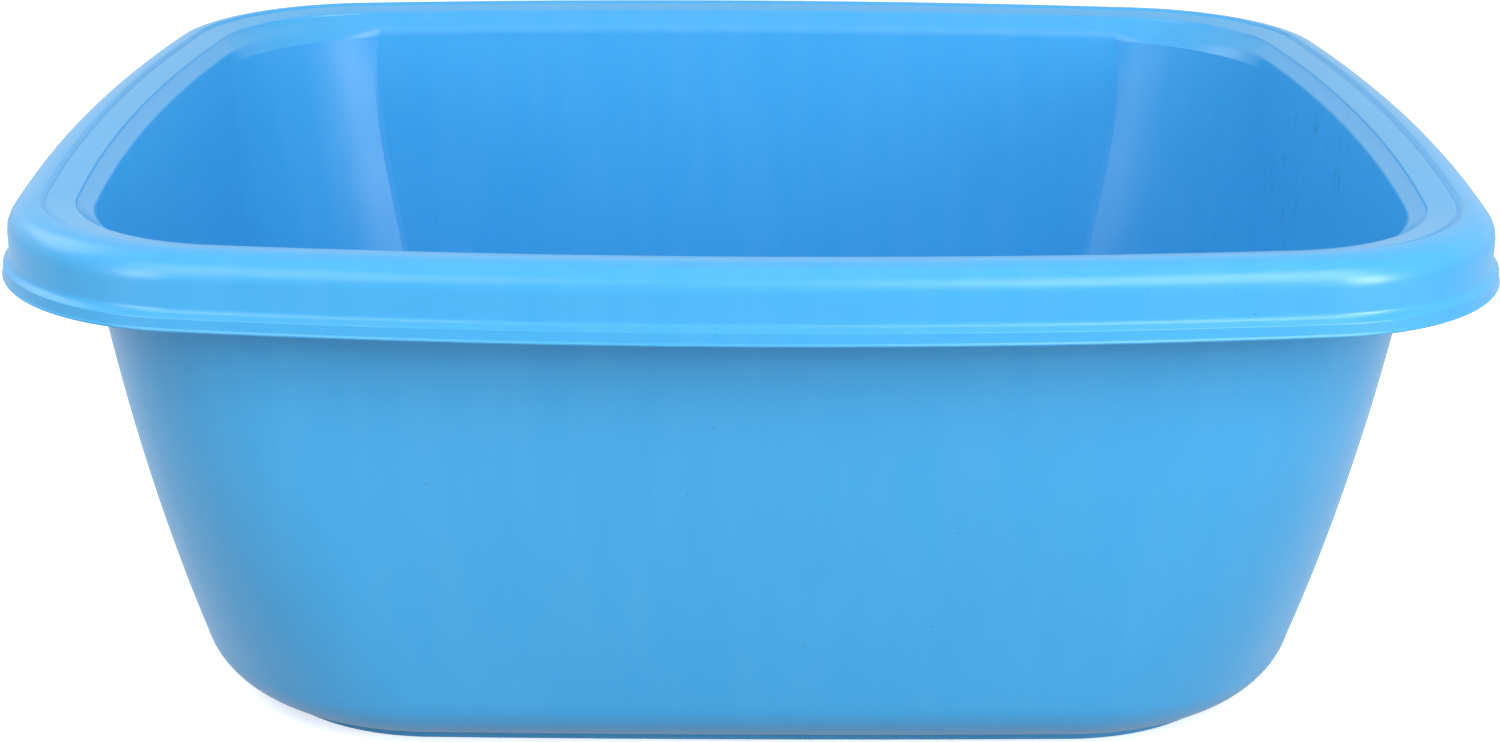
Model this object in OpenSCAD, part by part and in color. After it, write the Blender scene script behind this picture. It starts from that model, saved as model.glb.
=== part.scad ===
// Washing up bowl: one moulding of polypropylene, kept as its named moulded regions.
// Millimetres. The bowl rests on z = 0, its long side runs along X, its front faces -Y.
// A level is one outline of the bowl: half length, half width, corner radius, the radii of the
// gentle bows of the long and the short sides, and the height above the table.

/* [Bowl] */
// Overall length across the rim, left to right
length = 380; // [330:1:460]
// Overall width across the rim, front to back
width = 315; // [275:1:380]
// Overall height from the table to the crest of the rim
height = 146.5; // [120:0.5:178]
// Thickness of the moulding
thick = 1.8; // [1.5:0.1:2.2]

/* [Rim] */
// Corner radius of the rim's outer edge
rim_corner = 59.5; // [49.5:0.5:71.5]
// Bow radius of the rim's long sides
long_bow = 1040; // [860:10:1250]
// Bow radius of the rim's short sides
short_bow = 980; // [810:5:1180]
// Radius of the rolled outer edge
roll_r = 7.3; // [6:0.1:8.8]
// Width of the rim from its outermost edge to the bowl's mouth
rim_w = 17.8; // [14.8:0.1:21.4]
// Corner radius of the bowl's mouth
mouth_corner = 46; // [38:0.5:55.5]
// Bow radius of the mouth's long sides
mouth_long_bow = 1130; // [940:10:1360]
// Bow radius of the mouth's short sides
mouth_short_bow = 767; // [639:1:921]
// How far the deck falls from the crest of the roll to the mouth
deck_fall = 1.9; // [1.5:0.1:2.3]
// Depth of the turned down skirt below the crest
skirt_drop = 17.9; // [14.9:0.1:21.5]
// How far the skirt's lip flares out beyond the face above it
lip_flare = 1.6; // [1.3:0.1:2]

/* [Bowl wall] */
// Height of the sloped band under the mouth
band_h = 4.2; // [3.5:0.1:5]
// How far the sloped band runs inward along the short sides
side_run = 1.6; // [1.3:0.1:2]
// How far the sloped band runs inward along the long sides
long_run = 3.4; // [2.8:0.1:4.1]
// Corner radius of the wall's outer face at its top
wall_corner = 52; // [43:0.5:62.5]
// Lean of the wall at its top, in degrees
wall_lean = 6.5; // [5.4:0.1:7.8]
// Radius of the wall's slow curve from top to heel
wall_arc = 1330; // [1100:10:1600]
// How much the corner radius grows for each millimetre the wall leans inward
corner_growth = 0.8; // [0.66:0.02:0.96]
// Bow radius of the long sides at the base
base_long_bow = 7300; // [6050:50:8800]
// Bow radius of the short sides at the base
base_short_bow = 1850; // [1500:50:2250]
// Radius of the curved heel between wall and floor
heel_r = 17.8; // [14.8:0.1:21.4]

/* [Foot] */
// Height of the foot ring
foot_h = 2.5; // [2:0.1:3]
// Width of the foot ring
foot_w = 2.9; // [2.3:0.1:3.5]

/* [Hidden] */
a = length / 2;
b = width / 2;
crest_z = height;
lip_z = height - skirt_drop;
roll_z = height - roll_r;
// The face above the lip leans in by this much before the roll starts
face_lean = 0.4;
roll_g = lip_flare + face_lean + roll_r;
mouth_z = height - deck_fall;
wall_top_z = mouth_z - band_h;
// Groove between the roll and the flat deck, and the small step at the mouth
groove_g = roll_g + 0.8;
groove_w = 0.7;
groove_d = 0.35;
step_w = 0.3;
step_h = 0.7;
edge_w = 1.1;
// Points along half a long side, half a short side and a corner
long_n = 4;
short_n = 3;
corner_n = 10;
quarter_n = short_n + corner_n + long_n;
loop_n = 4 * quarter_n;
// Steps down the wall, round the heel, and over the part of the heel that the foot ring carries
wall_n = 5;
heel_n = 5;
foot_n = 1;

blue = [0.15, 0.5, 0.82];

// Circle centre of a level's corner, tangent inside to the bows of both sides
function corner_centre(o) =
    let (
        long_c = [0, o[1] - o[3]],
        short_c = [o[0] - o[4], 0],
        p = o[3] - o[2],
        q = o[4] - o[2],
        d = norm(short_c - long_c),
        e = (short_c - long_c) / d,
        t = (p * p - q * q + d * d) / (2 * d),
        h = sqrt(max(p * p - t * t, 0)),
        m = long_c + t * e,
        one = m + h * [-e[1], e[0]],
        two = m - h * [-e[1], e[0]]
    )
    one[0] > two[0] ? one : two;

function arc_point(c, r, angle) = [c[0] + r * cos(angle), c[1] + r * sin(angle)];

// Point k of a quarter outline, from the middle of the right side to the middle of the back
function quarter_point(o, k) =
    let (
        c = corner_centre(o),
        short_c = [o[0] - o[4], 0],
        long_c = [0, o[1] - o[3]],
        short_end = atan2(c[1], c[0] - short_c[0]),
        long_end = atan2(c[1] - long_c[1], c[0])
    )
    k <= short_n
        ? arc_point(short_c, o[4], short_end * k / short_n)
        : k <= short_n + corner_n
            ? arc_point(c, o[2], short_end + (long_end - short_end) * (k - short_n) / corner_n)
            : arc_point(long_c, o[3], long_end + (90 - long_end) * (k - short_n - corner_n) / long_n);

// Point k of the whole outline, counted from the middle of the right side by way of the back
function loop_point(o, k) =
    let (
        w = (k + loop_n) % loop_n,
        turn = floor(w / quarter_n),
        i = w % quarter_n
    )
    turn == 0 ? quarter_point(o, i)
    : turn == 1 ? flip_x(quarter_point(o, quarter_n - i))
    : turn == 2 ? -quarter_point(o, i)
    : -flip_x(quarter_point(o, quarter_n - i));

function flip_x(p) = [-p[0], p[1]];

function with_z(p, z) = [p[0], p[1], z];

// Stations first to last of one level
function row(o, first, last) = [for (k = [first:last]) with_z(loop_point(o, k), o[5])];

// A parallel level, further in by d and higher by up
function inside(o, d, up) = [o[0] - d, o[1] - d, o[2] - d, o[3] - d, o[4] - d, o[5] + up];

// Level of the rim at inset g and height z
function rim_level(g, z) = [
    a - g,
    b - g,
    rim_corner - (rim_corner - mouth_corner) * g / rim_w,
    long_bow + (mouth_long_bow - long_bow) * min(g / rim_w, 1),
    short_bow + (mouth_short_bow - short_bow) * min(g / rim_w, 1),
    z
];

// Outer face of the wall, by its lean angle: its top lies a thickness outside the foot of the band
side_g = rim_w + side_run - thick * cos(wall_lean);
long_g = rim_w + long_run - thick * cos(wall_lean);
wall_zone = wall_top_z + wall_arc * sin(wall_lean);
heel_lean = asin((wall_zone - foot_h - heel_r) / (wall_arc - heel_r));

function wall_shift(lean) = wall_arc * (cos(wall_lean) - cos(lean));
function wall_z(lean) = wall_zone - wall_arc * sin(lean);
function blend(top, low, part) = 1 / ((1 - part) / top + part / low);

function wall_level(lean) =
    let (
        shift = wall_shift(lean),
        z = wall_z(lean),
        part = (wall_top_z - z) / wall_top_z
    )
    [
        a - side_g - shift,
        b - long_g - shift,
        wall_corner + corner_growth * shift,
        blend(mouth_long_bow, base_long_bow, part),
        blend(mouth_short_bow, base_short_bow, part),
        z
    ];

// The heel is parallel to the wall's last level all the way to the base
function heel_level(lean) = inside(
    wall_level(heel_lean),
    heel_r * (cos(heel_lean) - cos(lean)),
    heel_r * (sin(heel_lean) - sin(lean))
);

foot_lean = acos(foot_w / heel_r);
wall_leans = [for (i = [0:wall_n]) wall_lean + (heel_lean - wall_lean) * i / wall_n];
heel_leans = [for (i = [1:heel_n]) heel_lean + (foot_lean - heel_lean) * i / heel_n];
foot_leans = [for (i = [1:foot_n]) foot_lean + (90 - foot_lean) * i / foot_n];

function skin(level, lean) = inside(level, thick * cos(lean), thick * sin(lean));

wall_outer = concat(
    [for (lean = wall_leans) wall_level(lean)],
    [for (lean = heel_leans) heel_level(lean)],
    [for (lean = foot_leans) heel_level(lean)]
);
// The wall's top inner level is level with its outer one, so that the rim sits on a flat ring
wall_inner = concat(
    [inside(wall_level(wall_lean), thick * cos(wall_lean), 0)],
    [for (i = [1:wall_n]) skin(wall_level(wall_leans[i]), wall_leans[i])],
    [for (lean = heel_leans) skin(heel_level(lean), lean)],
    [for (lean = foot_leans) skin(heel_level(lean), lean)]
);
base_level = heel_level(90);

// Rolled edge: the outer skin at radius roll_r, the inner one a thickness inside it
function roll_at(angle, r) = rim_level(roll_g - r * cos(angle), roll_z + r * sin(angle));
roll_angles = [0, 24, 48, 72, 90];
deck_z = height - groove_d;

rim_top = concat(
    [for (angle = roll_angles) roll_at(angle, roll_r)],
    [
        rim_level(groove_g, deck_z - groove_d),
        rim_level(groove_g + groove_w, deck_z - groove_d / 2),
        rim_level(rim_w - edge_w, mouth_z + step_h),
        rim_level(rim_w, mouth_z),
        rim_level(rim_w + step_w, mouth_z - step_h),
        wall_inner[0]
    ]
);
rim_under = concat(
    [for (angle = roll_angles) roll_at(angle, roll_r - thick)],
    [
        rim_level(groove_g, deck_z - groove_d - thick),
        rim_level(groove_g + groove_w - step_w, deck_z - groove_d / 2 - thick),
        rim_level(rim_w - edge_w - thick / 2, mouth_z + step_h - thick),
        rim_level(rim_w - thick / 2, mouth_z - thick),
        rim_level(rim_w + step_w - thick / 2, mouth_z - step_h - thick),
        wall_outer[0]
    ]
);

skirt_out = [
    rim_level(0, lip_z),
    rim_level(lip_flare * 0.2, lip_z + lip_flare * 0.8),
    rim_level(lip_flare * 0.7, lip_z + lip_flare * 1.7),
    rim_level(lip_flare, lip_z + lip_flare * 2.4),
    roll_at(0, roll_r)
];
skirt_in = [
    rim_level(thick, lip_z),
    rim_level(thick + lip_flare * 0.25, lip_z + lip_flare * 0.7),
    rim_level(thick + lip_flare * 0.75, lip_z + lip_flare * 1.6),
    rim_level(thick + lip_flare, lip_z + lip_flare * 2.3),
    roll_at(0, roll_r - thick)
];

// A plate between two stacks of levels, from station first to station last
module plate(face_levels, back_levels, first, last) {
    rows = len(face_levels);
    cols = last - first + 1;
    half = rows * cols;
    face_points = [for (o = face_levels) each row(o, first, last)];
    back_points = [for (o = back_levels) each row(o, first, last)];
    skins = [
        for (i = [0:rows - 2])
            for (j = [0:cols - 2])
                let (p = i * cols + j, q = p + cols)
                each [
                    [p, q, p + 1],
                    [p + 1, q, q + 1],
                    [half + p, half + p + 1, half + q],
                    [half + p + 1, half + q + 1, half + q]
                ]
    ];
    ends = [
        for (i = [0:rows - 2])
            let (p = i * cols, q = p + cols, r = p + cols - 1, s = r + cols)
            each [
                [p, half + p, half + q],
                [p, half + q, q],
                [r, half + s, half + r],
                [r, s, half + s]
            ]
    ];
    bars = [
        for (j = [0:cols - 2])
            let (r = (rows - 1) * cols + j)
            each [
                [j, j + 1, half + j + 1],
                [j, half + j + 1, half + j],
                [r, half + r + 1, r + 1],
                [r, half + r, half + r + 1]
            ]
    ];
    color(blue)
        polyhedron(concat(face_points, back_points), concat(skins, ends, bars), convexity = 6);
}

// Stations where the sides meet the corners
right_back = short_n;
back_right = short_n + corner_n;
back_left = back_right + 2 * long_n;
left_back = back_left + corner_n;
left_front = left_back + 2 * short_n;
front_left = left_front + corner_n;
front_right = front_left + 2 * long_n;
right_front = front_right + corner_n;

module wall_part(first, last) {
    plate(wall_outer, wall_inner, first, last);
}

module rim_part(first, last) {
    plate(rim_top, rim_under, first, last);
}

module skirt_part(first, last) {
    plate(skirt_in, skirt_out, first, last);
}

// Flat bottom plate between the heels
module floor() {
    color(blue)
        translate([0, 0, foot_h])
            linear_extrude(height = thick)
                polygon([for (k = [0:loop_n - 1]) loop_point(base_level, k)]);
}

// Ring the bowl rests on, carried by the lowest part of the heel
module foot_ring() {
    top = concat([heel_level(foot_lean)], [for (lean = foot_leans) heel_level(lean)]);
    rows = len(top);
    n = loop_n;
    low = [for (o = top) [o[0], o[1], o[2], o[3], o[4], 0]];
    points = concat(
        [for (o = top) each row(o, 0, n - 1)],
        [for (o = low) each row(o, 0, n - 1)]
    );
    half = rows * n;
    skins = [
        for (i = [0:rows - 2])
            for (j = [0:n - 1])
                let (p = i * n + j, p1 = i * n + (j + 1) % n, q = p + n, q1 = p1 + n)
                each [
                    [p, p1, q],
                    [p1, q1, q],
                    [half + p, half + q, half + p1],
                    [half + p1, half + q, half + q1]
                ]
    ];
    rims = [
        for (j = [0:n - 1])
            let (j1 = (j + 1) % n, r = (rows - 1) * n + j, r1 = (rows - 1) * n + j1)
            each [
                [j, half + j1, j1],
                [j, half + j, half + j1],
                [r, r1, half + r1],
                [r, half + r1, half + r]
            ]
    ];
    color(blue)
        polyhedron(points, concat(skins, rims), convexity = 6);
}

module wall_right() wall_part(right_front - loop_n, right_back);
module wall_back_right() wall_part(right_back, back_right);
module wall_back() wall_part(back_right, back_left);
module wall_back_left() wall_part(back_left, left_back);
module wall_left() wall_part(left_back, left_front);
module wall_front_left() wall_part(left_front, front_left);
module wall_front() wall_part(front_left, front_right);
module wall_front_right() wall_part(front_right, right_front);

module grip_right() rim_part(right_front - loop_n, right_back);
module rim_back_right() rim_part(right_back, back_right);
module rim_back() rim_part(back_right, back_left);
module rim_back_left() rim_part(back_left, left_back);
module grip_left() rim_part(left_back, left_front);
module rim_front_left() rim_part(left_front, front_left);
module rim_front() rim_part(front_left, front_right);
module rim_front_right() rim_part(front_right, right_front);

module skirt_right() skirt_part(right_front - loop_n, right_back);
module skirt_back_right() skirt_part(right_back, back_right);
module skirt_back() skirt_part(back_right, back_left);
module skirt_back_left() skirt_part(back_left, left_back);
module skirt_left() skirt_part(left_back, left_front);
module skirt_front_left() skirt_part(left_front, front_left);
module skirt_front() skirt_part(front_left, front_right);
module skirt_front_right() skirt_part(front_right, right_front);

floor();
foot_ring();
wall_right();
wall_back_right();
wall_back();
wall_back_left();
wall_left();
wall_front_left();
wall_front();
wall_front_right();
grip_right();
rim_back_right();
rim_back();
rim_back_left();
grip_left();
rim_front_left();
rim_front();
rim_front_right();
skirt_right();
skirt_back_right();
skirt_back();
skirt_back_left();
skirt_left();
skirt_front_left();
skirt_front();
skirt_front_right();
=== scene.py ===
# %% [markdown]
# # A washing up bowl, from one moulding
#
# The real bowl is a single injection moulding in blue polypropylene: a deep basin with bowed sides, a
# rolled rim whose turned down skirt hides the fingers that lift it, and a low foot ring. This file makes
# the look of that moulding in Blender. Everything is in metres, in the frame of the engineering model, so
# a point here is the same point there.
#
# A moulding like this is a shell that follows one section all the way round an outline. It could be
# modelled by pushing a box into shape under a subdivision modifier, but the bowed sides and the growing
# corners are easier to hit exactly when each level of the shell is drawn from its own few sizes. So this
# file draws levels, and lofts a skin over them.

# %% Load the frame
import math
from collections import namedtuple

import bmesh
import bpy
from mathutils import Matrix, Vector


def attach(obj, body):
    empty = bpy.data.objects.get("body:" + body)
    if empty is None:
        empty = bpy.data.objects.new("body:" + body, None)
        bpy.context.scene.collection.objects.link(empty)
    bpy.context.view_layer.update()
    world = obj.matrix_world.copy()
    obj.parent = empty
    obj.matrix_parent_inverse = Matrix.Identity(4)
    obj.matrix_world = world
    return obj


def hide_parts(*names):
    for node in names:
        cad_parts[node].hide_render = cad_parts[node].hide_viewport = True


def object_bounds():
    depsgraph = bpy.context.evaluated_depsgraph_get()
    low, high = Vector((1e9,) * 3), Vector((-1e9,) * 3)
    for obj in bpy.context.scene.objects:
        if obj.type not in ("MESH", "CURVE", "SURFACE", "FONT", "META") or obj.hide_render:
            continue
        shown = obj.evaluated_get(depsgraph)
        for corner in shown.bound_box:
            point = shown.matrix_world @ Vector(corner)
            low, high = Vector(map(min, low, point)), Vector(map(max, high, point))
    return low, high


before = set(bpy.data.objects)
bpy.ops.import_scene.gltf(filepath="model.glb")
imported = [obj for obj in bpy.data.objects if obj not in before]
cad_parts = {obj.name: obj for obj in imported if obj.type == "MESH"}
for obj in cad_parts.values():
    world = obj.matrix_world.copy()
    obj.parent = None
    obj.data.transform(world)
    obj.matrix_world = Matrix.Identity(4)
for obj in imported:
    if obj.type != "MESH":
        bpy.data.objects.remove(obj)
cad_low, cad_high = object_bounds()
print("frame box, metres:", [round(v, 4) for v in cad_high - cad_low])

# %% [markdown]
# ## The driving sizes
#
# The overall size comes from the frame. The others are the sizes a mould maker would put on the drawing,
# written in millimetres and turned to metres once. The sides look straight but swell a little, so each
# has a bow: the radius of the arc that it follows.

# %% Sizes of the whole bowl
MM = 0.001
half_length = (cad_high.x - cad_low.x) / 2
half_width = (cad_high.y - cad_low.y) / 2
height = cad_high.z - cad_low.z
thick = 1.8 * MM
print("half length, half width, height, mm:", [round(v / MM, 1) for v in (half_length, half_width, height)])

# %% Sizes of the rim
# Seen from above: the rim's width, its outer edge, and the mouth at its inner edge
rim_w = 17.8 * MM
rim_corner = 59.5 * MM
rim_long_bow = 1040 * MM
rim_short_bow = 980 * MM
mouth_corner = 46 * MM
mouth_long_bow = 1130 * MM
mouth_short_bow = 767 * MM

# In section: the roll, the deck's fall to the mouth, and the skirt with its leaning face and flared lip
roll_r = 7.3 * MM
deck_fall = 1.9 * MM
skirt_drop = 17.9 * MM
face_lean = 0.4 * MM
lip_flare = 1.6 * MM
mouth_z = height - deck_fall
lip_z = height - skirt_drop
print("mouth at", round(mouth_z / MM, 1), "mm, lip at", round(lip_z / MM, 1), "mm")

# %% Sizes of the wall, the heel and the foot
# A sloped band joins the mouth to the wall and reaches in further on the long sides
band_h = 4.2 * MM
side_run = 1.6 * MM
long_run = 3.4 * MM
wall_top_z = mouth_z - band_h

# The wall leans in by this much at its top, and more lower down, along an arc of this radius
wall_lean = math.radians(6.5)
wall_arc = 1330 * MM

# The wall's corner radius at the top, and how much it grows for each millimetre the wall comes in
wall_corner = 52 * MM
corner_growth = 0.8

# The bows at the base, the heel between wall and base, and the ring the bowl stands on
base_long_bow = 7300 * MM
base_short_bow = 1850 * MM
heel_r = 17.8 * MM
foot_h = 2.5 * MM
foot_w = 2.9 * MM
print("wall, from its top to the foot:", round((wall_top_z - foot_h) / MM, 1), "mm")

# %% [markdown]
# ## One level of the bowl
#
# Seen from above, every level is a rounded rectangle whose four sides bow gently outward. Such an outline
# is six numbers: half length, half width, the corner radius, the radii of the two bows, and the height.
# The corner's arc touches both bows without a kink, and its centre follows from that. The corners could
# be curves with handles set by eye instead, but then every level would need its own handles.

# %% Outline of a level
Level = namedtuple("Level", "half_x half_y corner long_bow short_bow z")


def inside(outline, inward, up=0.0):
    """The parallel outline that lies further in and higher up."""
    smaller = [size - inward for size in outline[:5]]
    return Level(*smaller, outline.z + up)


def corner_centre(outline):
    """Centre of the corner arc in the first quarter."""
    long_centre = Vector((0, outline.half_y - outline.long_bow))
    short_centre = Vector((outline.half_x - outline.short_bow, 0))
    to_long = outline.long_bow - outline.corner
    to_short = outline.short_bow - outline.corner
    apart = short_centre - long_centre
    d = apart.length
    along = (to_long**2 - to_short**2 + d**2) / (2 * d)
    off = math.sqrt(max(to_long**2 - along**2, 0))
    unit = apart / d
    middle = long_centre + along * unit
    side = Vector((-unit.y, unit.x)) * off
    return max(middle + side, middle - side, key=lambda p: p.x)


rim_edge = Level(half_length, half_width, rim_corner, rim_long_bow, rim_short_bow, height)
print("a rim corner's centre, mm:", [round(v / MM, 1) for v in corner_centre(rim_edge)])

# %% [markdown]
# ## Walking round a level
#
# The bowl is the same left and right, front and back, so a quarter of the outline is worked out and the
# rest is mirrored. Inside, the real bowl's corners are a little flatter than an arc and meet the long
# walls in a soft upright crease. So a corner is a smooth curve between two given directions, which is as
# good as an arc where nothing is flattened, and the crease can carry a fine raised line.

# %% Arcs and a flatter corner


def ray(angle):
    """The direction at this angle from +X."""
    return Vector((math.cos(angle), math.sin(angle)))


def tangent(angle):
    """The direction a quarter turn further on."""
    return Vector((-math.sin(angle), math.cos(angle)))


def arc_points(centre, radius, start, end, steps):
    """Points on an arc, without the last one."""
    angles = [start + (end - start) * k / steps for k in range(steps)]
    return [Vector((centre[0] + radius * math.cos(a), centre[1] + radius * math.sin(a))) for a in angles]


def flat_corner(start, end, start_angle, end_angle, steps):
    """A curve between two points whose outward normals have the given angles, without the last point."""
    half_turn = (end_angle - start_angle) / 2
    radius = (end - start).length / (2 * math.sin(half_turn))
    handle = 4 / 3 * math.tan(half_turn / 2) * radius
    leave = start + tangent(start_angle) * handle
    arrive = end - tangent(end_angle) * handle
    points = []
    for k in range(steps):
        t = k / steps
        u = 1 - t
        points.append(start * u**3 + leave * 3 * u * u * t + arrive * 3 * u * t * t + end * t**3)
    return points


quarter_circle = flat_corner(ray(0), ray(math.pi / 2), 0, math.pi / 2, 2)
print("a quarter circle's middle, from its centre:", round(quarter_circle[1].length, 3), "of the radius")

# %% Round a quarter, and round the whole
LONG_STEPS = 20
SHORT_STEPS = 16
CORNER_STEPS = 28
RIDGE_HALF = 0.9 * MM
RIDGE_SHARES = (0.0, 0.8, 1.0, 0.8)


def quarter(outline, turned=0.0, ridge=0.0, panel=0.0):
    """Points from the middle of the right side to just before the middle of the back.

    turned moves the line where corner and long side meet this far round the corner, so that they meet in
    a crease there; ridge raises a fine line of that height on the crease; panel flattens the corner's
    curve by this angle at the crease and half as much at its other end.
    """
    centre = corner_centre(outline)
    short_middle = (outline.half_x - outline.short_bow, 0.0)
    short_end = math.atan2(centre.y, centre.x - short_middle[0])
    long_end = math.atan2(centre.y - (outline.half_y - outline.long_bow), centre.x)
    meet = long_end - turned
    joint = centre + ray(meet) * outline.corner
    drop = outline.half_y - joint.y
    side_r = (joint.x**2 + drop**2) / (2 * drop)
    side_middle = (0.0, outline.half_y - side_r)
    side_start = math.atan2(joint.y - side_middle[1], joint.x)
    side_next = side_start + RIDGE_HALF / side_r
    first = centre + ray(short_end) * outline.corner
    last = joint - tangent(meet - panel) * RIDGE_HALF
    crease = [last, (last + joint) / 2] + arc_points(side_middle, side_r, side_start, side_next, 2)
    return (
        arc_points(short_middle, outline.short_bow, 0, short_end, SHORT_STEPS)
        + flat_corner(first, joint, short_end + panel / 2, meet - panel, CORNER_STEPS)
        + [point - ray(meet) * ridge * share for point, share in zip(crease, RIDGE_SHARES)]
        + arc_points(side_middle, side_r, side_next, math.pi / 2, LONG_STEPS)
    )


def loop(outline, turned=0.0, ridge=0.0, panel=0.0):
    """The whole outline as points in space, counter-clockwise from the middle of the right side."""
    back = quarter(outline, turned, ridge, panel) + [Vector((0, outline.half_y))]
    back += [Vector((-p.x, p.y)) for p in reversed(back[:-1])]
    front = [-p for p in back[1:-1]]
    return [Vector((p.x, p.y, outline.z)) for p in back + front]


print("points round a level:", len(loop(rim_edge)))

# %% [markdown]
# ## The skin over the levels
#
# A loft joins each level to the next with a ring of four sided faces. A closed section, such as the
# rim's, ends where it began. A basin ends in the middle of its floor, where rings shrink to one point. The
# faces are shaded smooth, and only an edge that turns sharply or lies on the crease stays crisp.

# %% Loft
SHARP_ABOVE = math.radians(40)


def add_ring(mesh, lower, upper):
    """Four sided faces between two rows of vertices."""
    for k in range(len(lower)):
        n = (k + 1) % len(lower)
        mesh.faces.new((lower[k], lower[n], upper[n], upper[k]))


def add_cap(mesh, row):
    """Three sided faces from a row of vertices to its middle."""
    middle = mesh.verts.new((0, 0, row[0].co.z))
    for k in range(len(row)):
        mesh.faces.new((row[k], row[(k + 1) % len(row)], middle))


def loft(name, loops, closed=False, capped=(), creased=(), stations=()):
    """Makes an object from loops of equal length.

    capped names the ends that close in one middle point; at the stations, the edges that go up from the
    creased loops stay crisp.
    """
    mesh = bmesh.new()
    rows = [[mesh.verts.new(p) for p in points] for points in loops]
    for lower, upper in zip(rows, rows[1:]):
        add_ring(mesh, lower, upper)
    if closed:
        add_ring(mesh, rows[-1], rows[0])
    for end in capped:
        add_cap(mesh, rows[end])
    bmesh.ops.recalc_face_normals(mesh, faces=mesh.faces)
    for face in mesh.faces:
        face.smooth = True
    for edge in mesh.edges:
        edge.smooth = edge.calc_face_angle(0.0) < SHARP_ABOVE
    for row in creased:
        for k in stations:
            mesh.edges.get((rows[row][k], rows[row + 1][k])).smooth = False
    data = bpy.data.meshes.new(name)
    mesh.to_mesh(data)
    mesh.free()
    made = bpy.data.objects.new(name, data)
    bpy.context.scene.collection.objects.link(made)
    print(name, "has", len(data.polygons), "faces")
    return made


# %% [markdown]
# ## The basin's section
#
# The wall leans in a little more the lower it gets, which is one long arc. The heel is a tighter arc that
# runs on to the flat floor. The outline of the wall grows rounder at the corners as it goes down, and the
# heel stays parallel to the wall's last outline. Each of these is a function of how far the section leans
# from upright, so the levels can lie as close as the curve needs.

# %% Levels of the wall and the heel
side_inset = rim_w + side_run - thick * math.cos(wall_lean)
long_inset = rim_w + long_run - thick * math.cos(wall_lean)
wall_centre_z = wall_top_z + wall_arc * math.sin(wall_lean)
heel_lean = math.asin((wall_centre_z - foot_h - heel_r) / (wall_arc - heel_r))


def blend_bow(top, low, part):
    """A bow radius between two others, even in curvature."""
    return 1 / ((1 - part) / top + part / low)


def wall_level(lean):
    """Outline of the wall's outer face where it leans by this angle."""
    shift = wall_arc * (math.cos(wall_lean) - math.cos(lean))
    z = wall_centre_z - wall_arc * math.sin(lean)
    part = (wall_top_z - z) / wall_top_z
    return Level(
        half_length - side_inset - shift,
        half_width - long_inset - shift,
        wall_corner + corner_growth * shift,
        blend_bow(mouth_long_bow, base_long_bow, part),
        blend_bow(mouth_short_bow, base_short_bow, part),
        z,
    )


def heel_level(lean):
    """Outline of the heel's outer face, parallel to the wall's last outline."""
    inward = heel_r * (math.cos(heel_lean) - math.cos(lean))
    up = heel_r * (math.sin(heel_lean) - math.sin(lean))
    return inside(wall_level(heel_lean), inward, up)


def skin_level(outline, lean):
    """The inner face that belongs to a level of the outer face."""
    return inside(outline, thick * math.cos(lean), thick * math.sin(lean))


print("the wall meets the heel where it leans by", round(math.degrees(heel_lean), 1), "degrees")

# %% [markdown]
# ## The inner corners
#
# Inside the real bowl, the crease between corner and long wall wanders: it starts above the heel, lies
# further round the corner low down than high up, and swings towards the long wall just under the mouth.
# Each of its habits is a size here that fades in and out over a span of heights. The short walls are also
# drawn a little thicker just under the mouth, because that gives the reflections the real ones show there.

# %% The crease
# Turns are in degrees round the corner, and the slant is in degrees for each millimetre of height
CREASE_MIDDLE = 66 * MM
CREASE_TURN = 13.7
CREASE_SLANT = 0.085
HOOK_TURN = 5.0
HOOK_REACH = 7 * MM
PANEL_TURN = 9.0
RIDGE_HIGH = 0.15 * MM
THICKER = 1.5 * MM

# Heights where each starts to grow and is full, and where some start to shrink and are gone
CREASE_SPAN = (17 * MM, 45 * MM)
PANEL_SPAN = CREASE_SPAN + (wall_top_z - 1.2 * MM, wall_top_z - 0.1 * MM)
RIDGE_SPAN = (25 * MM, 45 * MM, 112 * MM, 124 * MM)
THICKER_SPAN = (95 * MM, 140 * MM)


def fade(value, start, end):
    """0 before start and 1 after end, smooth between."""
    part = min(max((value - start) / (end - start), 0.0), 1.0)
    return part * part * (3 - 2 * part)


def within(z, grows, full, shrinks, gone):
    """How much of a feature with this span of heights there is at height z."""
    return fade(z, grows, full) * (1 - fade(z, shrinks, gone))


def creased_loop(outline):
    """An inner level with its crease."""
    z = outline.z
    hook = HOOK_TURN * math.exp(min(z - wall_top_z, 0.0) / HOOK_REACH)
    turned = CREASE_TURN - CREASE_SLANT * (z - CREASE_MIDDLE) / MM - hook
    turned *= fade(z, *CREASE_SPAN)
    ridge = RIDGE_HIGH * within(z, *RIDGE_SPAN)
    panel = PANEL_TURN * within(z, *PANEL_SPAN)
    narrower = outline._replace(half_x=outline.half_x - THICKER * fade(z, *THICKER_SPAN))
    return loop(narrower, math.radians(turned), ridge, math.radians(panel))


# The crease shows as three crisp lines: the foot, the top and the other foot of its ridge
QUARTER = SHORT_STEPS + CORNER_STEPS + len(RIDGE_SHARES) + LONG_STEPS
RIDGE_TOP = SHORT_STEPS + CORNER_STEPS + RIDGE_SHARES.index(1.0)
crease_stations = []
for around in (0, 2 * QUARTER):
    for beside in (-2, 0, 2):
        crease_stations += [around + RIDGE_TOP + beside, around + 2 * QUARTER - RIDGE_TOP - beside]
print("crisp lines in the inner corners:", len(crease_stations))

# %% [markdown]
# ## The basin
#
# The basin is one loft: from the middle of the floor up its inner face, over to the outer face, and down
# again to the middle of the base. It stops a little under the wall's top, where the rolled rim takes over
# with the same loop of points, so that the two meet without a step.

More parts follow.
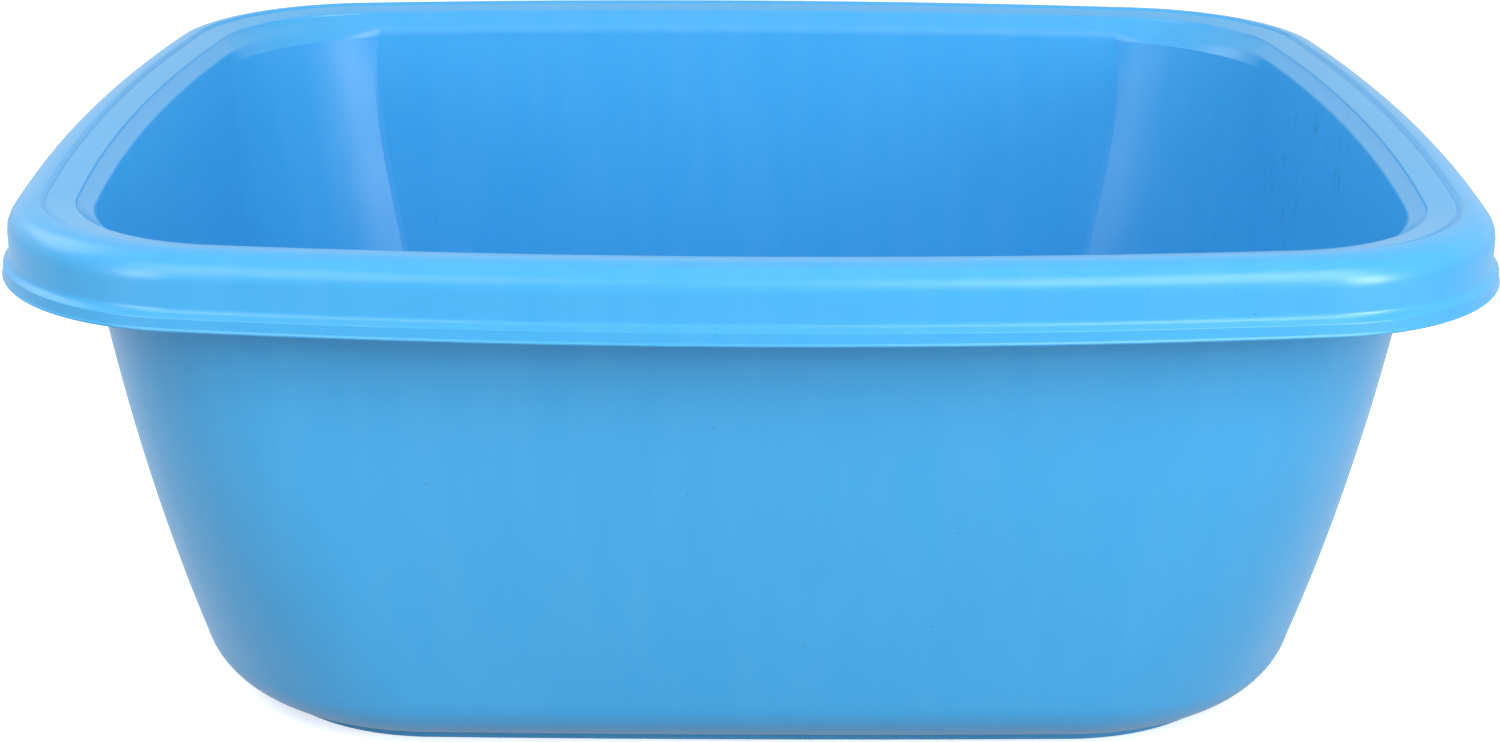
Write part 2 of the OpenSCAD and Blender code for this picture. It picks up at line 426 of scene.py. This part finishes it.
# %% Basin
WALL_STEPS = 24
HEEL_STEPS = 16
FLOOR_STEPS = 8
FLOOR_LAST = 0.1
RIM_TAKES_OVER = 3.0 * MM


def spread(start, end, steps):
    """Evenly spaced values, without the first."""
    return [start + (end - start) * k / steps for k in range(1, steps + 1)]


def shrinking(outline):
    """The flat floor: the same outline in ever smaller sizes."""
    points = loop(outline)
    shares = spread(1.0, FLOOR_LAST, FLOOR_STEPS)
    return [[Vector((p.x * f, p.y * f, outline.z)) for p in points] for f in shares]


first_lean = math.asin(math.sin(wall_lean) + RIM_TAKES_OVER / wall_arc)
wall_leans = [first_lean] + spread(first_lean, heel_lean, WALL_STEPS)
heel_leans = spread(heel_lean, math.pi / 2, HEEL_STEPS)
outer_levels = [wall_level(lean) for lean in wall_leans] + [heel_level(lean) for lean in heel_leans]
inner_levels = [skin_level(o, lean) for o, lean in zip(outer_levels, wall_leans + heel_leans)]
inner_loops = [creased_loop(o) for o in inner_levels] + shrinking(inner_levels[-1])
outer_loops = [loop(o) for o in outer_levels] + shrinking(outer_levels[-1])
basin = loft(
    "basin",
    inner_loops[::-1] + outer_loops,
    capped=(0, -1),
    creased=range(FLOOR_STEPS + HEEL_STEPS, FLOOR_STEPS + HEEL_STEPS + WALL_STEPS),
    stations=crease_stations,
)
base = outer_levels[-1]
print("base is", round(2 * base.half_x / MM, 1), "by", round(2 * base.half_y / MM, 1), "mm")

# %% [markdown]
# ## The rim's section
#
# The rim is a deck that rolls over its outer edge and comes down as a skirt with a flared lip. Its section
# is a chain of corners, each rounded by its own radius, which is how a mould maker dimensions it. An inset
# is a distance inside the rim's outermost edge.

# %% Rounded chain


def rounded_chain(corners, steps=6):
    """Corners are (inset, height, radius) in millimetres, in order round a closed section."""
    points = []
    for k, (inset, z, radius) in enumerate(corners):
        here = Vector((inset, z))
        if radius <= 0:
            points.append(here)
            continue
        before = (Vector(corners[k - 1][:2]) - here).normalized()
        after = (Vector(corners[(k + 1) % len(corners)][:2]) - here).normalized()
        half = before.angle(after) / 2
        reach = radius / math.tan(half)
        centre = here + (before + after).normalized() * (radius / math.sin(half))
        start = here + before * reach - centre
        end = here + after * reach - centre
        turn = start.angle_signed(end)
        points += [centre + Matrix.Rotation(-turn * i / steps, 2) @ start for i in range(steps + 1)]
    return points


square = [(0, 0, 1), (0, 9, 1), (9, 9, 1), (9, 0, 1)]
print("a rounded square has", len(rounded_chain(square)), "points")

# %% The rim's chain of corners
# Heights of the main features, and their insets, all in millimetres
crest = height / MM
mouth = mouth_z / MM
lip = lip_z / MM
wall_top = wall_top_z / MM
skin = thick / MM
flare = lip_flare / MM
face_in = (lip_flare + face_lean) / MM
groove_gap = 0.9
groove_in = (lip_flare + face_lean + roll_r) / MM + groove_gap
mouth_in = rim_w / MM
wall_out_in = side_inset / MM
wall_skin_in = (side_inset + thick * math.cos(wall_lean)) / MM

# Where the deck meets the mouth there is a small step, and before the roll a fine groove
step_low = 0.4
step_high = 0.2
groove_depth = 1.05
deck_drop = 0.5
inner_edge = [
    (mouth_in - 0.3, mouth - step_low, 0.3),
    (mouth_in - 0.5, mouth + step_high, 0.35),
    (groove_in + 1.0, crest - deck_drop, 0.7),
    (groove_in + 0.2, crest - groove_depth, 0.35),
    (groove_in - 0.6, crest - 0.02, 0.4),
]

# The roll, the skirt's face, the ledge where the face turns out to the lip, and the lip's own edge
roll_round = 6.9
ledge_top = 4.8
ledge_low = 3.3
outer_face = [
    (face_in - 0.05, crest, roll_round),
    (face_in - 0.1, lip + ledge_top, 2.2),
    (0.35, lip + ledge_low, 0.5),
    (0.2, lip + 0.9, 0.2),
    (-0.1, lip + 0.45, 0.2),
    (0.1, lip, 0.3),
]

# The skirt's inner face and the deck's underside, one skin further in
underside = [
    (skin, lip, 0.4),
    (skin + 0.3, lip + 2.3, 1.0),
    (skin + flare, lip + 4.6, 1.5),
    (skin + face_in, crest - skin, 5.0),
    (mouth_in - 1.2, mouth - skin + 0.5, 0.5),
]

# The wall's two faces only give the chain's ends their direction, so they come off again
wall_faces = [(wall_skin_in, wall_top, 0), (wall_out_in, wall_top, 0)]
rim_chain = wall_faces[:1] + inner_edge + outer_face + underside + wall_faces[1:]
rim_section = rounded_chain(rim_chain)[1:-1]
print("the rim's section has", len(rim_section), "points")

# %% [markdown]
# ## The rolled rim
#
# The section is carried round the outline, whose corner and bows change from the rim's edge to the mouth.
# Under the mouth a narrow sloped band leads down to the wall. It rounds softly into the long walls and
# crisply into the short ones, and it starts a little higher there. So each point of that bend is mixed by
# how far its part of the outline runs along a long side.

# %% Round the rim


def rim_level(inset, z):
    """An outline of the rim zone, at a distance inside the outermost edge."""
    part = min(inset / rim_w, 1.0)
    return Level(
        half_length - inset,
        half_width - inset,
        rim_corner - (rim_corner - mouth_corner) * inset / rim_w,
        rim_long_bow + (mouth_long_bow - rim_long_bow) * part,
        rim_short_bow + (mouth_short_bow - rim_short_bow) * part,
        z,
    )


section_loops = [loop(rim_level(point.x * MM, point.y * MM)) for point in rim_section]
print("the rim has", len(section_loops), "loops")

# %% The bend under the band
BEND_STEPS = 6
BAND_RAISED = 0.9 * MM

# Shares of the way down to the wall's first level, and up to the band's top, on short and long sides
BEND_DOWN = (0.2, 0.95)
BEND_UP = (0.12, 0.72)


def between(ends, part):
    """The value this far from the first end to the second."""
    return ends[0] + (ends[1] - ends[0]) * part


def mixed(first, second, part):
    """Points between two loops."""
    return [a.lerp(b, part) for a, b in zip(first, second)]


def along_long_sides(points):
    """For each point 1 where the outline runs along a long side and 0 along a short one."""
    shares = []
    for k in range(len(points)):
        run = points[(k + 1) % len(points)] - points[k - 1]
        shares.append((run.x / run.xy.length) ** 2)
    return shares


band_top = section_loops[0]
band_foot = creased_loop(inside(wall_level(wall_lean), thick * math.cos(wall_lean)))
below = inner_loops[0]
long_shares = along_long_sides(band_foot)
for point, share in zip(band_foot, long_shares):
    point.z += BAND_RAISED * (1 - share)
sides = list(zip(band_foot, long_shares))
bend_start = [foot.lerp(low, between(BEND_DOWN, w)) for (foot, w), low in zip(sides, below)]
bend_end = [foot.lerp(high, between(BEND_UP, w)) for (foot, w), high in zip(sides, band_top)]
bend_loops = []
for k in range(BEND_STEPS + 1):
    part = k / BEND_STEPS
    rising = mixed(bend_start, band_foot, part)
    leaving = mixed(band_foot, bend_end, part)
    bend_loops.append(mixed(rising, leaving, part))
rim = loft("rolled_rim", [below] + bend_loops + section_loops + [outer_loops[0]], closed=True)

# %% [markdown]
# ## The foot ring
#
# A low ring under the heel keeps the flat floor off the table, so the bowl doesn't rock. It is a small
# closed loft of its own, whose two lower edges are rounded in two short slopes.

# %% Foot ring
FOOT_EDGE = 0.5 * MM
SLOPE_IN = 0.15 * MM
SLOPE_UP = 0.13 * MM
ring_out = heel_level(math.acos(foot_w / heel_r))
ring_in = outer_levels[-1]
ring_levels = [
    ring_out,
    ring_out._replace(z=FOOT_EDGE),
    inside(ring_out, SLOPE_IN)._replace(z=SLOPE_UP),
    inside(ring_out, FOOT_EDGE)._replace(z=0),
    inside(ring_in, -FOOT_EDGE)._replace(z=0),
    inside(ring_in, -SLOPE_IN)._replace(z=SLOPE_UP),
    ring_in._replace(z=FOOT_EDGE),
    ring_in,
]
foot = loft("foot_ring_moulding", [loop(outline) for outline in ring_levels], closed=True)

# %% [markdown]
# ## Making materials
#
# A material here is a chain of small nodes, so three helpers do the typing: one turns a colour as a
# designer writes it into the linear numbers Blender works in, one starts an empty material, and one adds
# a node with its settings and links.

# %% Material helpers


def linear(hex_colour):
    """An sRGB hex value as linear red, green, blue, alpha."""
    values = [int(hex_colour[i : i + 2], 16) / 255 for i in (1, 3, 5)]
    return [v / 12.92 if v <= 0.04045 else ((v + 0.055) / 1.055) ** 2.4 for v in values] + [1.0]


def add_node(tree, kind, settings=None, inputs=None):
    """Adds a node, sets its properties and its sockets; a socket value that is a socket is linked."""
    node = tree.nodes.new(kind)
    for key, value in (settings or {}).items():
        setattr(node, key, value)
    for key, value in (inputs or {}).items():
        if isinstance(value, bpy.types.NodeSocket):
            tree.links.new(value, node.inputs[key])
        else:
            node.inputs[key].default_value = value
    return node


def new_material(name):
    """An empty node material and its tree."""
    material = bpy.data.materials.new(name)
    material.use_nodes = True
    material.node_tree.nodes.clear()
    return material, material.node_tree


polypropylene, plastic_tree = new_material("satin_blue_polypropylene")
print("sRGB mid grey is", round(linear("#808080")[0], 3), "in linear light")

# %% [markdown]
# ## Words for patterns
#
# The plastic's marks are all made in one way: a pattern gives a number at each spot, the number is cut
# down to a mask between 0 and 1, and the mask tints the colour. A spot is a place on the object itself,
# in metres, so a pattern stays put when the bowl or the camera moves.

# %% Patterns in the plastic
spot = add_node(plastic_tree, "ShaderNodeTexCoord").outputs["Object"]


def axes_of(vector):
    """The X, Y and Z sockets of a vector."""
    return add_node(plastic_tree, "ShaderNodeSeparateXYZ", {}, {"Vector": vector}).outputs


def noise(per_metre, detail, vector):
    """Soft noise with this many features to the metre."""
    inputs = {"Vector": vector, "Scale": per_metre, "Detail": detail}
    return add_node(plastic_tree, "ShaderNodeTexNoise", {}, inputs).outputs["Fac"]


def remap(value, low, high, out_low=0.0, out_high=1.0):
    """value from low..high to out_low..out_high, clamped."""
    inputs = {"Value": value, "From Min": low, "From Max": high, "To Min": out_low, "To Max": out_high}
    return add_node(plastic_tree, "ShaderNodeMapRange", {}, inputs).outputs["Result"]


def falling(value, low, high):
    """1 below low and 0 above high."""
    return remap(value, low, high, 1.0, 0.0)


def product(first, second):
    """One value times the other."""
    node = add_node(plastic_tree, "ShaderNodeMath", {"operation": "MULTIPLY"}, {0: first, 1: second})
    return node.outputs["Value"]


def blend(share, first, second):
    """Colour between first and second."""
    inputs = {"Factor": share, "A": first, "B": second}
    return add_node(plastic_tree, "ShaderNodeMix", {"data_type": "RGBA"}, inputs).outputs["Result"]


def tinted(base_colour, where, strength, hex_colour):
    """The base colour, moved this far towards another one where the mask is 1."""
    return blend(product(where, strength), base_colour, linear(hex_colour))


facing = axes_of(add_node(plastic_tree, "ShaderNodeNewGeometry").outputs["Normal"])
print("nodes so far:", len(plastic_tree.nodes))

# %% [markdown]
# ## The plastic's colour
#
# Polypropylene, injection moulded and pigmented right through. The pigment hides the wall's depth, so the
# colour is a plain opaque blue with hardly visible clouds where the melt flowed. Cloths leave faint
# upright wiping marks, and here and there a grain of pigment that didn't mix in shows as a dark speck.

# %% Clouds and wiping marks
# Clouds about 110 mm across
FLOW_PER_METRE = 9.0
flow = noise(FLOW_PER_METRE, detail=3.0, vector=spot)
colour = blend(flow, linear("#39a0db"), linear("#3da4e0"))

# Marks about 8 mm wide and twenty times as long
WIPES_PER_METRE = 130.0
WIPE_SQUASH = 0.05
WIPE_STRENGTH = 0.10
upright_inputs = {"Vector": spot, "Scale": (1.0, 1.0, WIPE_SQUASH)}
upright = add_node(plastic_tree, "ShaderNodeMapping", {}, upright_inputs)
streaks = noise(WIPES_PER_METRE, detail=2.0, vector=upright.outputs["Vector"])
wiped = remap(streaks, low=0.35, high=0.75)
colour = tinted(colour, wiped, WIPE_STRENGTH, "#6dbbe9")
print("wiping marks are about", round(1 / WIPES_PER_METRE / MM, 1), "mm wide")

# %% Specks
# Undispersed pigment: specks up to half a millimetre wide, a few per hand's breadth. Space is cut into
# cells with one point in each, and a point that happens to lie in the surface makes a speck there, unless
# the cell's random colour is too dark to be picked.
SPECK_CELLS = 110.0
SPECK_RADIUS = 0.27 * MM
SPECK_CORE = 0.6
SPECK_STRENGTH = 0.7
SPECK_PICKED = (0.40, 0.42)
cell_inputs = {"Vector": spot, "Scale": SPECK_CELLS}
cells = add_node(plastic_tree, "ShaderNodeTexVoronoi", {"feature": "F1"}, cell_inputs)
speck_edge = SPECK_RADIUS * SPECK_CELLS
dot = remap(cells.outputs["Distance"], speck_edge, speck_edge * SPECK_CORE)
picked = remap(cells.outputs["Color"], *SPECK_PICKED)
colour = tinted(colour, product(dot, picked), SPECK_STRENGTH, "#1f5f93")
print("speck cells are", round(1 / SPECK_CELLS / MM, 1), "mm wide")

# %% [markdown]
# ## Wear, and a painted reflection low down
#
# One patch high on the inside of the right wall is rubbed, and dirt sits in its scratches. The foot and
# the heel's underside get a greyer tint: a painted reflection of the white floor and painted shade near
# the table. Each mark is a mask: where it lies, and which way the surface faces there, so that it doesn't
# show through on the wall's other side.

# %% Rubbed patch
PATCH_MIDDLE = (0.168, 0.02, 0.118)
PATCH_INNER = 30 * MM
PATCH_OUTER = 60 * MM
PATCH_STRENGTH = 0.5

# Scratches about 2 mm wide and four times as long, broken up every 17 mm or so
SCRATCHES_PER_METRE = 420.0
SCRATCH_SLANT = {"Rotation": (0.5, 0.3, 0.4), "Scale": (1.0, 1.0, 0.25)}
BREAKS_PER_METRE = 60.0
slanted = add_node(plastic_tree, "ShaderNodeMapping", {}, {"Vector": spot, **SCRATCH_SLANT})
scratches = noise(SCRATCHES_PER_METRE, detail=1.0, vector=slanted.outputs["Vector"])
scratch = remap(scratches, low=0.60, high=0.68)
broken = remap(noise(BREAKS_PER_METRE, detail=1.0, vector=spot), low=0.50, high=0.60)
away = add_node(plastic_tree, "ShaderNodeVectorMath", {"operation": "DISTANCE"}, {0: spot, 1: PATCH_MIDDLE})
patch = falling(away.outputs["Value"], PATCH_INNER, PATCH_OUTER)
facing_left = falling(facing["X"], low=-0.5, high=0.0)
rubbed = product(product(scratch, patch), product(broken, facing_left))
colour = tinted(colour, rubbed, PATCH_STRENGTH, "#2a6ea3")
print("the patch is", round(2 * PATCH_OUTER / MM), "mm across")

# %% Painted floor reflection and shade on the foot and heel
# A greyer tint painted on the lowest millimetres that don't face up: a painted reflection of the white
# floor and painted shade near the table
PAINTED_TINT_FULL = 3 * MM
PAINTED_TINT_GONE = 9 * MM
PAINTED_TINT_STRENGTH = 0.22
low_down = falling(axes_of(spot)["Z"], PAINTED_TINT_FULL, PAINTED_TINT_GONE)
not_facing_up = falling(facing["Z"], low=0.1, high=0.3)
colour = tinted(colour, product(low_down, not_facing_up), PAINTED_TINT_STRENGTH, "#5f8fb8")
print("worn up to", round(PAINTED_TINT_GONE / MM), "mm above the table")

# %% [markdown]
# ## Gloss and relief
#
# The mould is sparked to a fine satin, so the surface is neither mirror nor matt: its highlights are broad
# with soft edges, and a little duller where cloths have wiped. Polypropylene's index of refraction is
# 1.49. Shrinkage leaves slow waves in a wall this thin, which bend the highlights, and the sparked grain
# breaks them up.

# %% Gloss
POLYPROPYLENE_IOR = 1.49
SATIN_SMOOTH = 0.285
SATIN_ROUGH = 0.315
WIPED_DULLER = 0.02
satin = remap(flow, low=0.3, high=0.7, out_low=SATIN_SMOOTH, out_high=SATIN_ROUGH)
rough = add_node(plastic_tree, "ShaderNodeMath", {}, {0: satin, 1: product(wiped, WIPED_DULLER)})
print("roughness from", SATIN_SMOOTH, "to", round(SATIN_ROUGH + WIPED_DULLER, 3))

# %% Relief
# Waves about 36 mm long and at most a quarter of a millimetre high
WAVES_PER_METRE = 28.0
WAVE_HEIGHT = 0.25 * MM
swell = noise(WAVES_PER_METRE, detail=1.0, vector=spot)
wave_inputs = {"Height": swell, "Strength": 1.0, "Distance": WAVE_HEIGHT}
waves = add_node(plastic_tree, "ShaderNodeBump", {}, wave_inputs)

# The real grain is much finer; it is drawn 0.7 mm wide so that it shows at all
GRAIN_PER_METRE = 1400.0
GRAIN_HEIGHT = 0.02 * MM
GRAIN_STRENGTH = 0.15
grain_inputs = {
    "Height": noise(GRAIN_PER_METRE, detail=2.0, vector=spot),
    "Strength": GRAIN_STRENGTH,
    "Distance": GRAIN_HEIGHT,
    "Normal": waves.outputs["Normal"],
}
relief = add_node(plastic_tree, "ShaderNodeBump", {}, grain_inputs)
print("grain drawn", round(1 / GRAIN_PER_METRE / MM, 1), "mm wide")

# %% The finished plastic
shader_inputs = {
    "Base Color": colour,
    "Roughness": rough.outputs["Value"],
    "IOR": POLYPROPYLENE_IOR,
    "Normal": relief.outputs["Normal"],
}
plastic = add_node(plastic_tree, "ShaderNodeBsdfPrincipled", {}, shader_inputs)
add_node(plastic_tree, "ShaderNodeOutputMaterial", {}, {"Surface": plastic.outputs["BSDF"]})
print("nodes in the plastic:", len(plastic_tree.nodes))

# %% [markdown]
# ## What each piece stands for
#
# The engineering model keeps the moulding as many plain regions, which stay for weight and contact. Each
# smooth piece hides the regions it stands for, so that only the smooth one shows. Nothing on the bowl
# moves, so all three ride on the one body.

# %% Hand the pieces over
walls = [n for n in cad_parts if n.startswith("wall_")]
rims = [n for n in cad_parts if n.startswith(("rim_", "grip_", "skirt_"))]
for piece, nodes in ((basin, walls + ["floor"]), (rim, rims), (foot, ["foot_ring"])):
    piece.data.materials.append(polypropylene)
    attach(piece, "root")
    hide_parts(*nodes)
    print(piece.name, "stands for regions:", len(nodes))

# %% [markdown]
# ## The studio floor
#
# The bowl stands on a plain floor that the camera sees as white with a soft shadow. A white floor would
# also throw much light up under the bowl, so for every other ray the floor is painted grey, and mirrored
# rays see a mix of both. That is done with the kind of ray that asks, not with more lamps.

# %% Floor
FLOOR_HALF = 3.0
FLOOR_LIFT = 0.55
FLOOR_MIRRORED = 0.5
FLOOR_ROUGHNESS = 0.9
floor_material, floor_tree = new_material("white_studio_floor")


def floor_paint(hex_colour):
    """A matt paint."""
    inputs = {"Base Color": linear(hex_colour), "Roughness": FLOOR_ROUGHNESS}
    return add_node(floor_tree, "ShaderNodeBsdfPrincipled", {}, inputs).outputs["BSDF"]


lift_inputs = {"Color": linear("#ffffff"), "Strength": FLOOR_LIFT}
lift = add_node(floor_tree, "ShaderNodeEmission", {}, lift_inputs).outputs["Emission"]
white_floor = add_node(floor_tree, "ShaderNodeAddShader", {}, {0: floor_paint("#f4f4f4"), 1: lift})
floor_rays = add_node(floor_tree, "ShaderNodeLightPath").outputs
white_share = add_node(
    floor_tree,
    "ShaderNodeMath",
    {"operation": "MULTIPLY_ADD"},
    {0: floor_rays["Is Glossy Ray"], 1: FLOOR_MIRRORED, 2: floor_rays["Is Camera Ray"]},
).outputs["Value"]
floor_mix = {"Fac": white_share, 1: floor_paint("#8c8c8c"), 2: white_floor.outputs["Shader"]}
floor_seen = add_node(floor_tree, "ShaderNodeMixShader", {}, floor_mix)
add_node(floor_tree, "ShaderNodeOutputMaterial", {}, {"Surface": floor_seen.outputs["Shader"]})

floor_data = bpy.data.meshes.new("studio_floor")
floor_signs = ((-1, -1), (1, -1), (1, 1), (-1, 1))
floor_corners = [(x * FLOOR_HALF, y * FLOOR_HALF, 0) for x, y in floor_signs]
floor_data.from_pydata(floor_corners, [], [(0, 1, 2, 3)])
floor_data.materials.append(floor_material)
studio_floor = bpy.data.objects.new("studio_floor", floor_data)
bpy.context.scene.collection.objects.link(studio_floor)
print("floor", 2 * FLOOR_HALF, "m square")

# %% [markdown]
# ## The studio's soft light
#
# The room is white to the camera and in reflections. The light that it gives comes mostly from behind the
# bowl, as from a bright backdrop, and hardly any from the front, so that the front wall keeps its depth
# of colour. One world shader does both: its strength grows from front to back.

# %% World
WORLD_BACK = 0.85
WORLD_FRONT = 0.03
FRONT_ENDS = -0.3
BACK_STARTS = 0.4
world = bpy.data.worlds.new("white_studio")
bpy.context.scene.world = world
world.use_nodes = True
world_tree = world.node_tree
world_tree.nodes.clear()


def white_world(strength):
    """An even white of this strength."""
    inputs = {"Color": linear("#ffffff"), "Strength": strength}
    return add_node(world_tree, "ShaderNodeBackground", {}, inputs).outputs["Background"]


outward = add_node(world_tree, "ShaderNodeTexCoord").outputs["Generated"]
direction = add_node(world_tree, "ShaderNodeSeparateXYZ", {}, {"Vector": outward})
rise_inputs = {
    "Value": direction.outputs["Y"],
    "From Min": FRONT_ENDS,
    "From Max": BACK_STARTS,
    "To Min": WORLD_FRONT,
    "To Max": WORLD_BACK,
}
rise = add_node(world_tree, "ShaderNodeMapRange", {"interpolation_type": "SMOOTHSTEP"}, rise_inputs)
world_rays = add_node(world_tree, "ShaderNodeLightPath").outputs
shows_white = add_node(
    world_tree,
    "ShaderNodeMath",
    {"operation": "MAXIMUM"},
    {0: world_rays["Is Camera Ray"], 1: world_rays["Is Glossy Ray"]},
).outputs["Value"]
world_mix = {"Fac": shows_white, 1: white_world(rise.outputs["Result"]), 2: white_world(1.0)}
world_seen = add_node(world_tree, "ShaderNodeMixShader", {}, world_mix)
add_node(world_tree, "ShaderNodeOutputWorld", {}, {"Surface": world_seen.outputs["Shader"]})
print("nodes in the world:", len(world_tree.nodes))

# %% [markdown]
# ## The lamps
#
# Soft boxes do the rest, as in a product photographer's studio: two small low ones brighten the corners,
# two large high ones stand in front, one hangs above the deck, and one stands on the left. A box is as
# soft as it looks large from the bowl, so its size and its distance belong together.

# %% Lamps
SMALL_BOX = (0.35, 0.4)
LARGE_BOX = (0.9, 0.7)
TOP_BOX = (1.6, 1.2)
bowl_middle = Vector((0, 0, height / 2))


def softbox(name, azimuth, elevation, reach, box, watts):
    """A soft lamp; azimuth 0 stands in front of the bowl and 90 on its right, in degrees."""
    turn = math.radians(azimuth)
    climb = math.radians(elevation)
    flat = math.cos(climb) * reach
    data = bpy.data.lights.new(name, "AREA")
    data.shape = "RECTANGLE"
    data.size, data.size_y = box
    data.energy = watts
    lamp = bpy.data.objects.new(name, data)
    offset = Vector((flat * math.sin(turn), -flat * math.cos(turn), reach * math.sin(climb)))
    lamp.location = bowl_middle + offset
    lamp.rotation_euler = (-offset).to_track_quat("-Z", "Y").to_euler()
    bpy.context.scene.collection.objects.link(lamp)
    print(name, "gives", watts, "W from", reach, "m")


softbox("lamp_low_left", azimuth=-43, elevation=13, reach=1.4, box=SMALL_BOX, watts=4.0)
softbox("lamp_low_right", azimuth=45, elevation=13, reach=1.4, box=SMALL_BOX, watts=8.0)
softbox("lamp_high_left", azimuth=-34, elevation=36, reach=1.5, box=LARGE_BOX, watts=6.2)
softbox("lamp_high_right", azimuth=30, elevation=36, reach=1.5, box=LARGE_BOX, watts=10.8)
softbox("lamp_above", azimuth=0, elevation=80, reach=1.6, box=TOP_BOX, watts=3.0)
softbox("lamp_side_left", azimuth=-108, elevation=36, reach=1.5, box=LARGE_BOX, watts=5.0)

# %% [markdown]
# ## Camera
#
# The photograph was taken from in front and a little above, from about 0.7 m away. The lens, the place
# and the three angles were found by matching the outlines of the rim, the mouth, the body and the foot.
# The lens is kept as a focal length in pixels of the 1500 pixels wide picture, and turned into the
# millimetres that Blender wants.

# %% Camera
IMAGE_W = 1500
FOCAL_PX = 2438.6
TILT = math.radians(19.897)
YAW = math.radians(-0.561)
ROLL = math.radians(-0.457)
STAND = Vector((-6.138, -675.398, 310.559)) * MM
camera_data = bpy.data.cameras.new("camera")
camera_data.sensor_fit = "HORIZONTAL"
camera_data.sensor_width = 36.0
camera_data.lens = FOCAL_PX * camera_data.sensor_width / IMAGE_W
camera = bpy.data.objects.new("camera", camera_data)
bpy.context.scene.collection.objects.link(camera)
bpy.context.scene.camera = camera
turned = Matrix.Rotation(YAW, 3, "Z")
right = turned @ Vector((1, 0, 0))
ahead = turned @ Vector((0, math.cos(TILT), -math.sin(TILT)))
down = turned @ Vector((0, -math.sin(TILT), -math.cos(TILT)))
right_rolled = right * math.cos(ROLL) + down * math.sin(ROLL)
down_rolled = down * math.cos(ROLL) - right * math.sin(ROLL)
axes = Matrix((right_rolled, -down_rolled, -ahead)).transposed()
camera.matrix_world = Matrix.Translation(STAND) @ axes.to_4x4()
print("lens", round(camera_data.lens, 2), "mm on a 36 mm sensor")
print("the bowl's middle is", round((STAND - bowl_middle).length, 2), "m away")

# %% [markdown]
# ## Colours as they are written
#
# The plain display transform shows a colour about as its hex value says, so the blue in the render can be
# compared with the photograph's.

# %% Look
bpy.context.scene.view_settings.view_transform = "Standard"
print("display transform:", bpy.context.scene.view_settings.view_transform)
